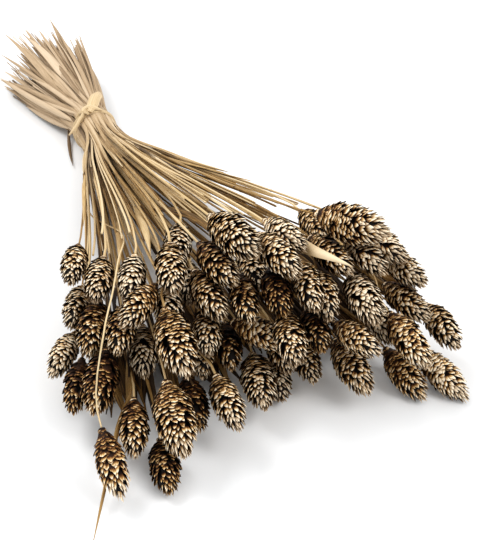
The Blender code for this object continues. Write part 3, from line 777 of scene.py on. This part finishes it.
def raffia_material():
    """Dried raffia: pale and a little glossy, with fine lengthwise grain."""
    made, tree, shader = graph("raffia", 0.5, 0.35)
    streak = streaks(tree, (14.0, 6.0, 53.0), 3.0)
    value = toned(tree, streak, 0.30, -0.6)
    colour = ramp(tree, value, (
        (0.00, (0.090, 0.050, 0.020)),
        (0.30, (0.380, 0.260, 0.125)),
        (0.55, (0.610, 0.450, 0.250)),
        (1.00, (0.820, 0.680, 0.450)),
    ))
    tree.links.new(colour, shader.inputs["Base Color"])
    bumped(tree, shader, streak, 0.5, 0.0005)
    return made


# The stems, their sheaths and the leaves

def inside_heap(points):
    """How far inside the heap of heads the points are, from 0 to 1: where straws and sheaths get painted
    shade.
    """
    reach = np.linalg.norm(points[..., :2], axis=-1)
    ahead = np.clip((reach - HEAP_FROM) / HEAP_OVER, 0, 1) * (points[..., 1] < 0)
    return ahead * np.clip((HEAP_TOP - points[..., 2]) / HEAP_DEPTH, 0, 1)


def straw(pile, points, thick, thin, draw, tone=0.0, inside_shade=0.0, sides=6):
    """One straw along the points: torn or hollow at its cut end, thin under its head, with its knots."""
    total = length_of(points)
    cut = draw.uniform(0, CUT_BACK)
    torn = draw.uniform() < TORN_SHARE
    knots = np.arange(draw.uniform(0.06, 0.14), total - 0.03, KNOT_PITCH)
    where = [np.linspace(cut, total, max(int(total / STRAW_STEP), 4))]
    for knot in knots:
        where.append(knot + np.array((-1.5, -0.6, 0.6, 1.5)) * MM)
    where = np.unique(np.clip(np.concatenate(where), cut, total).round(6))
    line = curve_at(points, where)
    across, up = frame_along(line)
    swell = np.zeros(len(where))
    for knot in knots:
        swell += np.exp(-(((where - knot) / KNOT_HALF) ** 2))
    size = (thick + (thin - thick) * (where / total) ** 0.8) * (1 + KNOT_SWELL * swell)
    size[0] *= 0.25 if torn else 1
    angle = 2 * math.pi * np.arange(sides) / sides
    flat = draw.uniform(0.75, 1.0)
    turn = draw.uniform(0, math.pi)
    ring = (
        across[:, None] * np.cos(angle + turn)[None, :, None]
        + up[:, None] * np.sin(angle + turn)[None, :, None] * flat
    )
    rings = line[:, None] + ring * size[:, None, None]
    inside = line[0] + ring[0] * size[0] * 0.62
    deep = line[0] + (line[1] - line[0]) * 0.5 + ring[0] * size[0] * 0.5
    rings = np.concatenate((deep[None], inside[None], rings))
    count = len(rings)
    base_tone = tone + draw.normal(0, 0.14)
    # The hollow inside the cut end is painted dark as the shade in it, and the inside of the heap gets
    # painted shade; the knots are darker in their own colour
    dark = np.concatenate(((1.4, 0.3), base_tone + 0.5 * swell + inside_shade * inside_heap(line)))
    along = np.concatenate(((0, 0), where)) * 10
    ends = np.stack((rings[0].mean(0), rings[-1].mean(0)))
    pile.add(
        np.concatenate((rings.reshape(-1, 3), ends)), tube(count, sides),
        along=np.concatenate((np.repeat(along, sides), (0, 0))),
        across=np.concatenate((np.tile(np.abs(angle - math.pi), count), (0, 0))),
        tint=draw.uniform(), tone=np.concatenate((np.repeat(dark, sides), (1.4, 0.2))),
    )


def blade(pile, line, widths, tint, tone=0.0, curl=0.3, roll=0.0, up=(0, 0, 1), thickness=0.0006):
    """A leaf, sheath or ribbon: a thin closed strip that curls round its length, with a midrib.

    A positive curl bends its edges down, away from its upper side.
    """
    count = len(line)
    across, up = frame_along(line, up)
    roll = np.broadcast_to(np.asarray(roll, float), count)
    c, s = np.cos(roll)[:, None], np.sin(roll)[:, None]
    across, up = across * c + up * s, up * c - across * s
    half = 0.5 * np.broadcast_to(np.asarray(widths, float), count)[:, None]
    curl = np.broadcast_to(np.asarray(curl, float), count)[:, None]
    bend = 2 * curl * BLADE_ACROSS
    side = half * np.sin(bend) / (2 * curl)
    rise = -half * (1 - np.cos(bend)) / (2 * curl)
    thick = 0.5 * thickness * BLADE_THICK
    middle = line[:, None] + across[:, None] * side[..., None]
    top = middle + up[:, None] * (rise + thick)[..., None]
    under = middle + up[:, None] * (rise - thick)[..., None]
    rings = np.concatenate((top, under[:, ::-1]), axis=1)
    points = np.concatenate((rings.reshape(-1, 3), rings[:1].mean(1), rings[-1:].mean(1)))
    points[:, 2] = np.maximum(points[:, 2], 0.0)
    spread = np.concatenate((BLADE_ACROSS, BLADE_ACROSS[::-1])) * 2
    sides = len(spread)
    pile.add(
        points, tube(count, sides), along=np.concatenate((np.repeat(distances(line) * 10, sides), (0, 0))),
        across=np.concatenate((np.tile(spread, count), (0, 0))), tint=tint, tone=tone,
    )


def sheath(pile, line, width, out, draw, tone=0.0, curl=0.7):
    """A dried sheath along a line, its outer side facing out, that narrows to a ragged point."""
    t = np.linspace(0, 1, len(line))
    widths = width * np.minimum(1, 0.12 + 4.0 * t) * np.maximum(1 - t ** draw.uniform(1.6, 4.5), 0.07)
    roll = draw.normal(0, 0.15) + draw.normal(0, 0.5) * t
    blade(pile, line, widths, draw.uniform(), tone, curl * (1 - 0.4 * t), roll, out)


def make_straws(slots, routes, extra, draw, material):
    """The stems, and the straws between them that have lost their heads, in one mesh."""
    pile = Pile()
    middle = np.median(slots[:, 1])
    for i, route in enumerate(routes):
        # Stems in the bunch's lower half get painted shade
        low_shade = LOW_STEM_SHADE if slots[i, 1] < middle else 0.0
        tone, slim = (ARCHED_TONE, ARCHED_SLIM) if i in ARCHED_STEMS else (low_shade, 1.0)
        thick, thin = draw.uniform(0.95, 1.25) * MM, draw.uniform(0.60, 0.76) * MM
        straw(pile, route, slim * thick, slim * thin, draw, tone)
    for slot, route in extra:
        # So do the straws in its lower half
        tone = LOW_STRAW_SHADE if slot[1] < middle else 0.0
        thick, thin = draw.uniform(0.6, 1.2) * MM, draw.uniform(0.40, 0.70) * MM
        # Inside the heap these straws get painted shade
        straw(pile, route, thick, thin, draw, tone, HEAP_SHADE)
    return pile.made("straws", material)


def straws_between(heads, slots, routes, draw):
    """Places in the tie, and routes, of straws that lie between two neighbouring stems."""
    made, between = [], []
    others = np.setdiff1d(np.arange(len(routes)), ARCHED_STEMS)
    for _ in range(EXTRA_STRAWS):
        first = draw.choice(others)
        near = others[np.argsort(np.linalg.norm(slots[others] - slots[first], axis=1))[1:6]]
        second = draw.choice(near)
        share = draw.uniform(0.25, 0.75)
        route = routes[first] * share + routes[second] * (1 - share)
        route[3:] += draw.normal(0, 1, 3) * np.linspace(0, 5, len(route) - 3)[:, None] * MM
        made.append(route)
        between.append(slots[first] * share + slots[second] * (1 - share))
    made = np.array(made)
    made[:, 3:] = clear_routes(heads, made[:, 3:], EXTRA_STRAW_RADIUS, [0], 40)
    return [(slot, cut_before_heads(route)) for slot, route in zip(between, made)]


def cut_before_heads(route):
    """The route, ended in front of the heads where it would pass above the heap."""
    line = smooth(route, 60)
    reach = np.linalg.norm(line[:, :2], axis=1)
    over = (line[:, 1] < 0) & (reach > STRAWS_END) & (line[:, 2] > STRAWS_ABOVE)
    return line[: np.argmax(over)] if over.any() else line


def collar_sheaths(pile, slots, routes, draw):
    """Sheaths laid lengthwise round the neck, on the outside of the stems, that pass under the tie."""
    outer = np.argsort(-np.linalg.norm(slots, axis=1))[:COLLAR_SHEATHS // 2]
    for stem in np.concatenate((outer, outer)):
        out = unit(np.array((slots[stem, 0], 0, slots[stem, 1])))
        tie_at = length_of(routes[stem][:3])
        start = tie_at - draw.uniform(0.020, 0.10)
        end = tie_at + draw.uniform(0.035, 0.12)
        line = curve_at(routes[stem], np.linspace(start, end, LEAF_ROWS))
        line = line + np.cross(out, (0, 1, 0)) * draw.uniform(-1.6, 1.6) * MM
        lift = (COLLAR_RADIUS - np.linalg.norm(slots[stem])) * np.exp(-((line[:, 1] / 0.028) ** 2))
        line = line + out * (lift + draw.uniform(0.3, 0.9) * MM)[:, None]
        if draw.uniform() < 0.4:
            line = line[::-1]
        sheath(pile, line, draw.uniform(2.8, 5.0) * MM, out, draw, draw.normal(0.20, 0.20), 0.5)


def fan_sheaths(pile, routes, draw):
    """Sheaths wrapped round the stems between the tie and the heads."""
    others = np.setdiff1d(np.arange(len(routes)), ARCHED_STEMS)
    for _ in range(FAN_SHEATHS):
        route = routes[draw.choice(others)]
        tie_at = length_of(route[:3])
        start = tie_at + draw.uniform(0.012, 0.13)
        length = draw.uniform(0.05, 0.13)
        end = min(start + length, length_of(route) - 0.012)
        line = curve_at(route, np.linspace(start, end, SHEATH_ROWS))
        out = unit(np.array((draw.normal(0, 0.6), -0.1, draw.uniform(0.2, 1))))
        away = 0.8 + draw.uniform(0, 3) * np.linspace(0, 1, SHEATH_ROWS) ** 2
        line = line + out * away[:, None] * MM
        # Each sheath's own tone at random, and painted shade inside the heap
        tone = draw.normal(-0.10, 0.30) + HEAP_SHADE * inside_heap(line[SHEATH_ROWS // 2])
        sheath(pile, line, draw.uniform(2.0, 4.0) * MM, out, draw, tone, 0.8)


def heap_sheaths(pile, heads, routes, draw):
    """Sheaths low down among the heads, along the last stretch of the stems, painted dark brown as the
    heap's shade.
    """
    low = np.argsort(heads.foot[:, 2])[: int(0.80 * len(heads.foot))]
    low = np.setdiff1d(low, ARCHED_STEMS)
    for stem in np.resize(low, HEAP_SHEATHS):
        route = routes[stem]
        total = length_of(route)
        end = total - draw.uniform(0.004, 0.03)
        start = max(end - draw.uniform(0.06, 0.11), length_of(route[:3]) + FILLER_FROM)
        line = curve_at(route, np.linspace(start, end, SHEATH_ROWS))
        if end - start < 0.020 or line[0, 2] > HEAP_TOP - HEAP_DEPTH:
            continue
        out = unit(np.array((draw.normal(0, 1), draw.normal(0, 0.3), draw.normal(0, 1))))
        line = line + out * 1.0 * MM
        # Painted dark as the shade in the heap
        sheath(pile, line, draw.uniform(4.0, 9.0) * MM, out, draw, draw.uniform(0.7, 1.2), 0.6)


def dark_filler_leaves(pile, heads, draw):
    """Dark, broken leaves under the heap, each ending below a head, that stand in for the heap's shade."""
    fan = np.arctan2(heads.foot[:, 0], -heads.foot[:, 1])
    reach = np.linalg.norm((heads.foot + heads.way * heads.length[:, None])[:, :2], axis=1)
    beside = np.abs(fan[:, None] - fan) < math.radians(5)
    within = (fan > fan.min() + FILLER_INSET) & (fan < fan.max() - FILLER_INSET)
    inner = np.flatnonzero((reach < (beside * reach).max(axis=1) - FILLER_START_IN) & within)
    under = draw.choice(inner, FILLER_LEAVES)
    level = heads.foot[under] * (1, 1, 0)
    away = unit(level)
    side = np.stack((-away[:, 1], away[:, 0], np.zeros(FILLER_LEAVES)), 1)
    root = level - away * draw.uniform(0.02, 0.06, (FILLER_LEAVES, 1)) + side * draw.normal(0, 0.006, (FILLER_LEAVES, 1))
    tip = level + away * draw.uniform(0.01, 0.035, (FILLER_LEAVES, 1)) + side * draw.normal(0, 0.006, (FILLER_LEAVES, 1))
    root[:, 2] = draw.uniform(0.004, 0.035, FILLER_LEAVES)
    tip[:, 2] = draw.uniform(0.002, 0.020, FILLER_LEAVES)
    t = np.linspace(0, 1, LEAF_POINTS)[None, :, None]
    lines = root[:, None] * (1 - t) + tip[:, None] * t
    lines[..., :2] *= np.maximum(1, FILLER_FROM / np.linalg.norm(lines[..., :2], axis=2))[..., None]
    lines = clear_routes(heads, lines, FILLER_LEAF_RADIUS, [], 30)
    most = (beside[under] * reach).max(axis=1)[:, None] - FILLER_END_IN
    lines[..., :2] *= np.minimum(1, most / np.linalg.norm(lines[..., :2], axis=2))[..., None]
    for line in lines:
        if length_of(line) < 0.015:
            continue
        line = smooth(line, SHEATH_ROWS)
        out = unit(np.array((draw.normal(0, 0.4), draw.normal(0, 0.4), 1)))
        # Painted near black as the shade under the heap
        sheath(pile, line, draw.uniform(6, 11) * MM, out, draw, draw.uniform(0.8, 1.2), 0.4)


def shade_tufts(pile, heads, draw):
    """The dark leaves between the heads, in listed tufts, that stand in for the shade there."""
    for root, tip, width in SHADE_TUFTS:
        for _ in range(LEAVES_IN_TUFT):
            t = np.linspace(0, 1, LEAF_POINTS)[:, None]
            first = place(*root) + draw.normal(0, 1, 3) * (4, 4, 3) * MM
            last = place(*tip) + draw.normal(0, 1, 3) * (5, 6, 2) * MM
            line = first * (1 - t) + last * t
            line = clear_routes(heads, line[None], FILLER_LEAF_RADIUS, [], 40)[0]
            line = smooth(line, SHEATH_ROWS)
            out = unit(np.array((draw.normal(-0.2, 0.3), draw.normal(-0.4, 0.3), 1.0)))
            # Painted dark as the shade between the heads
            sheath(pile, line, draw.uniform(0.7, 1.1) * width * MM, out, draw, draw.uniform(0.75, 1.1), 0.4)


def bundle_blades(pile, slots, ends, draw):
    """The broad, torn sheaths behind the tie, lying in bundles that come to a point."""
    for group in bundles(slots):
        tip = unit(ends[group].mean(axis=0)) * np.linalg.norm(ends[group], axis=1).max()
        for _ in range(BUNDLE_BLADES):
            slot = slots[draw.choice(group)]
            out = unit(np.array((slot[0], 0, slot[1])) + (0, 0, 0.3 * SLOT_RADIUS))
            reach = min(np.linalg.norm(slot) + draw.uniform(0.5, 2) * MM, COLLAR_RADIUS)
            start = np.array((0, 0.006, AXIS_HEIGHT)) + out * reach
            end = tip * draw.uniform(0.62, 1.0) + draw.normal(0, 1, 3) * (3.0 * MM, 0, 2.0 * MM)
            middle = 0.5 * (start + end) + out * draw.uniform(0.5, 4.0) * MM
            start = start + (middle - start) * draw.uniform(-0.1, 0.3)
            line = smooth(np.stack((start, middle, end)), 14)
            sheath(pile, line, draw.uniform(2.6, 5.6) * MM, out, draw, draw.normal(0.08, 0.15), 0.45)


def leaves(pile, heads, routes, draw):
    """The leaves that the CAD model has too."""
    widths = np.array([row[3] for row in LEAVES]) * MM
    blades = clear_routes(heads, leaf_routes(routes), 0.5 * widths, [0])
    for row, route in zip(LEAVES, blades):
        line = smooth(route, LEAF_ROWS)
        t = np.linspace(0, 1, LEAF_ROWS)
        width = row[3] * MM * np.minimum(1, 0.35 + 2.2 * t) * np.maximum(1 - t**3, 0.05)
        tint, roll = draw.uniform(), draw.uniform(-0.4, 0.4)
        tone = 0.6 if row[0] in BROWN_LEAVES else -0.2
        up = (0, 0, 1)
        if row[0] == "pale_blade":
            taper = 1.04 - np.clip((t - 0.3) / 0.7, 0, 1) ** 1.3
            width = PALE_BLADE_WIDTH * np.minimum(1, 0.4 + 4 * t) * taper
            line = line + (0, 0, PALE_BLADE_LIFT) * (4 * t * (1 - t))[:, None]
            tint, roll, tone, up = 1.0, 0.0, -0.8, PALE_BLADE_FACES
        blade(pile, line, width, tint, tone, 0.35, roll * t, up)


def make_stems(heads, draw, material):
    """The straws in one mesh, and the sheaths and leaves in another."""
    slots = tie_slots(heads)
    fronts = front_routes(heads, slots)
    fronts = clear_routes(heads, fronts, STEM_RADIUS, [0, -2, -1], own=True)
    routes = np.concatenate((back_routes(slots, np.random.default_rng(CAD_SEED)), fronts), axis=1)
    cad_routes = routes.copy()
    for group in bundles(slots):
        shift = gathered(routes[group, 0], BUNDLE_PULL_MORE) - routes[group, 0]
        routes[group, 0] += shift
        routes[group, 1] += 0.45 * shift
    extra = straws_between(heads, slots, routes, draw)
    straws = make_straws(slots, routes, extra, draw, material)
    pile = Pile()
    collar_sheaths(pile, slots, routes, draw)
    fan_sheaths(pile, routes, draw)
    heap_sheaths(pile, heads, routes, draw)
    dark_filler_leaves(pile, heads, draw)
    shade_tufts(pile, heads, draw)
    bundle_blades(pile, slots, cad_routes[:, 0], draw)
    leaves(pile, heads, cad_routes, draw)
    return straws, pile.made("sheaths", material)


# The tie

def ribbon(pile, points, width, draw):
    """A strip of dried raffia along the curve through given points."""
    line = smooth(points, RIBBON_ROWS)
    t = np.linspace(0, 1, RIBBON_ROWS)
    widths = width * (0.45 + 0.55 * np.minimum(1, 4 * np.minimum(t, 1 - t)))
    tint = draw.uniform()
    roll = draw.normal(0, 0.15) * t
    blade(pile, line, widths, tint, 0.0, 0.35, roll, (0, 0, 1), RAFFIA_THICKNESS)


def make_tie(draw, material):
    """Strands of dried raffia that cross round the neck, with a knot, a loop and loose ends."""
    pile = Pile()
    angle = np.linspace(-math.pi, math.pi, TIE_ROWS)
    out = np.stack((np.sin(angle), np.zeros(TIE_ROWS), np.cos(angle)), -1)
    for middle, slope, phase in TIE_STRANDS:
        radius = TIE_STRAND_RADIUS + 0.0003 * np.sin(3 * angle + phase)
        line = out * radius[:, None] + (0, 0, AXIS_HEIGHT)
        line[:, 1] = (middle + slope * np.sin(angle + phase)) * MM
        widths = TIE_STRAND_WIDTH * (1 + 0.15 * np.sin(5 * angle + phase))
        roll = 0.12 * np.sin(4 * angle)
        blade(pile, line, widths, draw.uniform(), 0.0, 0.45, roll, out, RAFFIA_THICKNESS)
    for points, width in KNOT_RIBBONS:
        ribbon(pile, np.array(points) * MM, width * MM, draw)
    return pile.made("raffia", material)


# The scene

def make_stage():
    bpy.ops.mesh.primitive_plane_add(size=FLOOR_SIZE)
    floor = bpy.context.object
    floor.name = "floor"
    material, _, shader = graph("floor", 0.7, 0.2)
    shader.inputs["Base Color"].default_value = FLOOR_COLOUR
    floor.data.materials.append(material)
    world = bpy.data.worlds.new("studio")
    world.use_nodes = True
    background = world.node_tree.nodes["Background"]
    background.inputs["Color"].default_value = (1, 1, 1, 1)
    background.inputs["Strength"].default_value = SKY_STRENGTH
    bpy.context.scene.world = world

    def lamp(name, at, towards, size, energy):
        light = bpy.data.lights.new(name, "AREA")
        light.size = size
        light.energy = energy
        lamp_object = bpy.data.objects.new(name, light)
        lamp_object.location = at
        lamp_object.rotation_euler = (Vector(towards) - Vector(at)).to_track_quat("-Z", "Y").to_euler()
        bpy.context.scene.collection.objects.link(lamp_object)

    lamp("key", (-0.6, 0.5, 1.3), (0, -0.2, 0), 0.7, 13)
    lamp("fill", (0.6, -1.0, 1.0), (0, -0.25, 0), 0.6, 8)


def make_camera():
    camera = bpy.data.cameras.new("camera")
    camera.lens = LENS
    camera.clip_start = 0.01
    made = bpy.data.objects.new("camera", camera)
    back = Vector((
        math.sin(CAMERA_TURN) * math.cos(CAMERA_RISE),
        -math.cos(CAMERA_TURN) * math.cos(CAMERA_RISE),
        math.sin(CAMERA_RISE),
    ))
    made.location = CAMERA_AT
    made.rotation_euler = (-back).to_track_quat("-Z", "Y").to_euler()
    bpy.context.scene.collection.objects.link(made)
    bpy.context.scene.camera = made


def dress(piece, slot, *nodes):
    """Says that the piece rides with the bunch and which CAD nodes it stands for. The slot, its finish, is
    not used.
    """
    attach(piece, "root")
    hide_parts(*nodes)


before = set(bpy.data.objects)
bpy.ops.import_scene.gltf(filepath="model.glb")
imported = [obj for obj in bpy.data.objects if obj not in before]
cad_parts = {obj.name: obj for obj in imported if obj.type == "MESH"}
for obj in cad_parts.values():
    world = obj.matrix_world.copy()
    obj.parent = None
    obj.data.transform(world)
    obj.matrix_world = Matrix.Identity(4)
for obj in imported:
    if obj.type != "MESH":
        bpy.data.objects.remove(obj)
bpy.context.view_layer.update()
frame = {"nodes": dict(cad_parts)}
bpy.context.scene.view_settings.view_transform = "Standard"
make_camera()
make_stage()
draw = np.random.default_rng(SEED)
heads = Heads(frame["nodes"])
husk = husk_material()
for i, name in enumerate(heads.names):
    # Each head's tone: the base, a little at random, and its group's painted light and shade
    tone = HEAD_TONE + draw.normal(0, 0.08) + sum(more for more, group in HEAD_LIGHT_AND_SHADE if i + 1 in group)
    made = fine_head(
        "husks_" + name[5:], heads.foot[i], heads.way[i], heads.length[i], heads.width[i], tone, draw, husk
    )
    dress(made, "husk", name)
for made in make_stems(heads, draw, straw_material()):
    dress(made, "straw", "stems")
dress(make_tie(draw, raffia_material()), "binding", "tie")
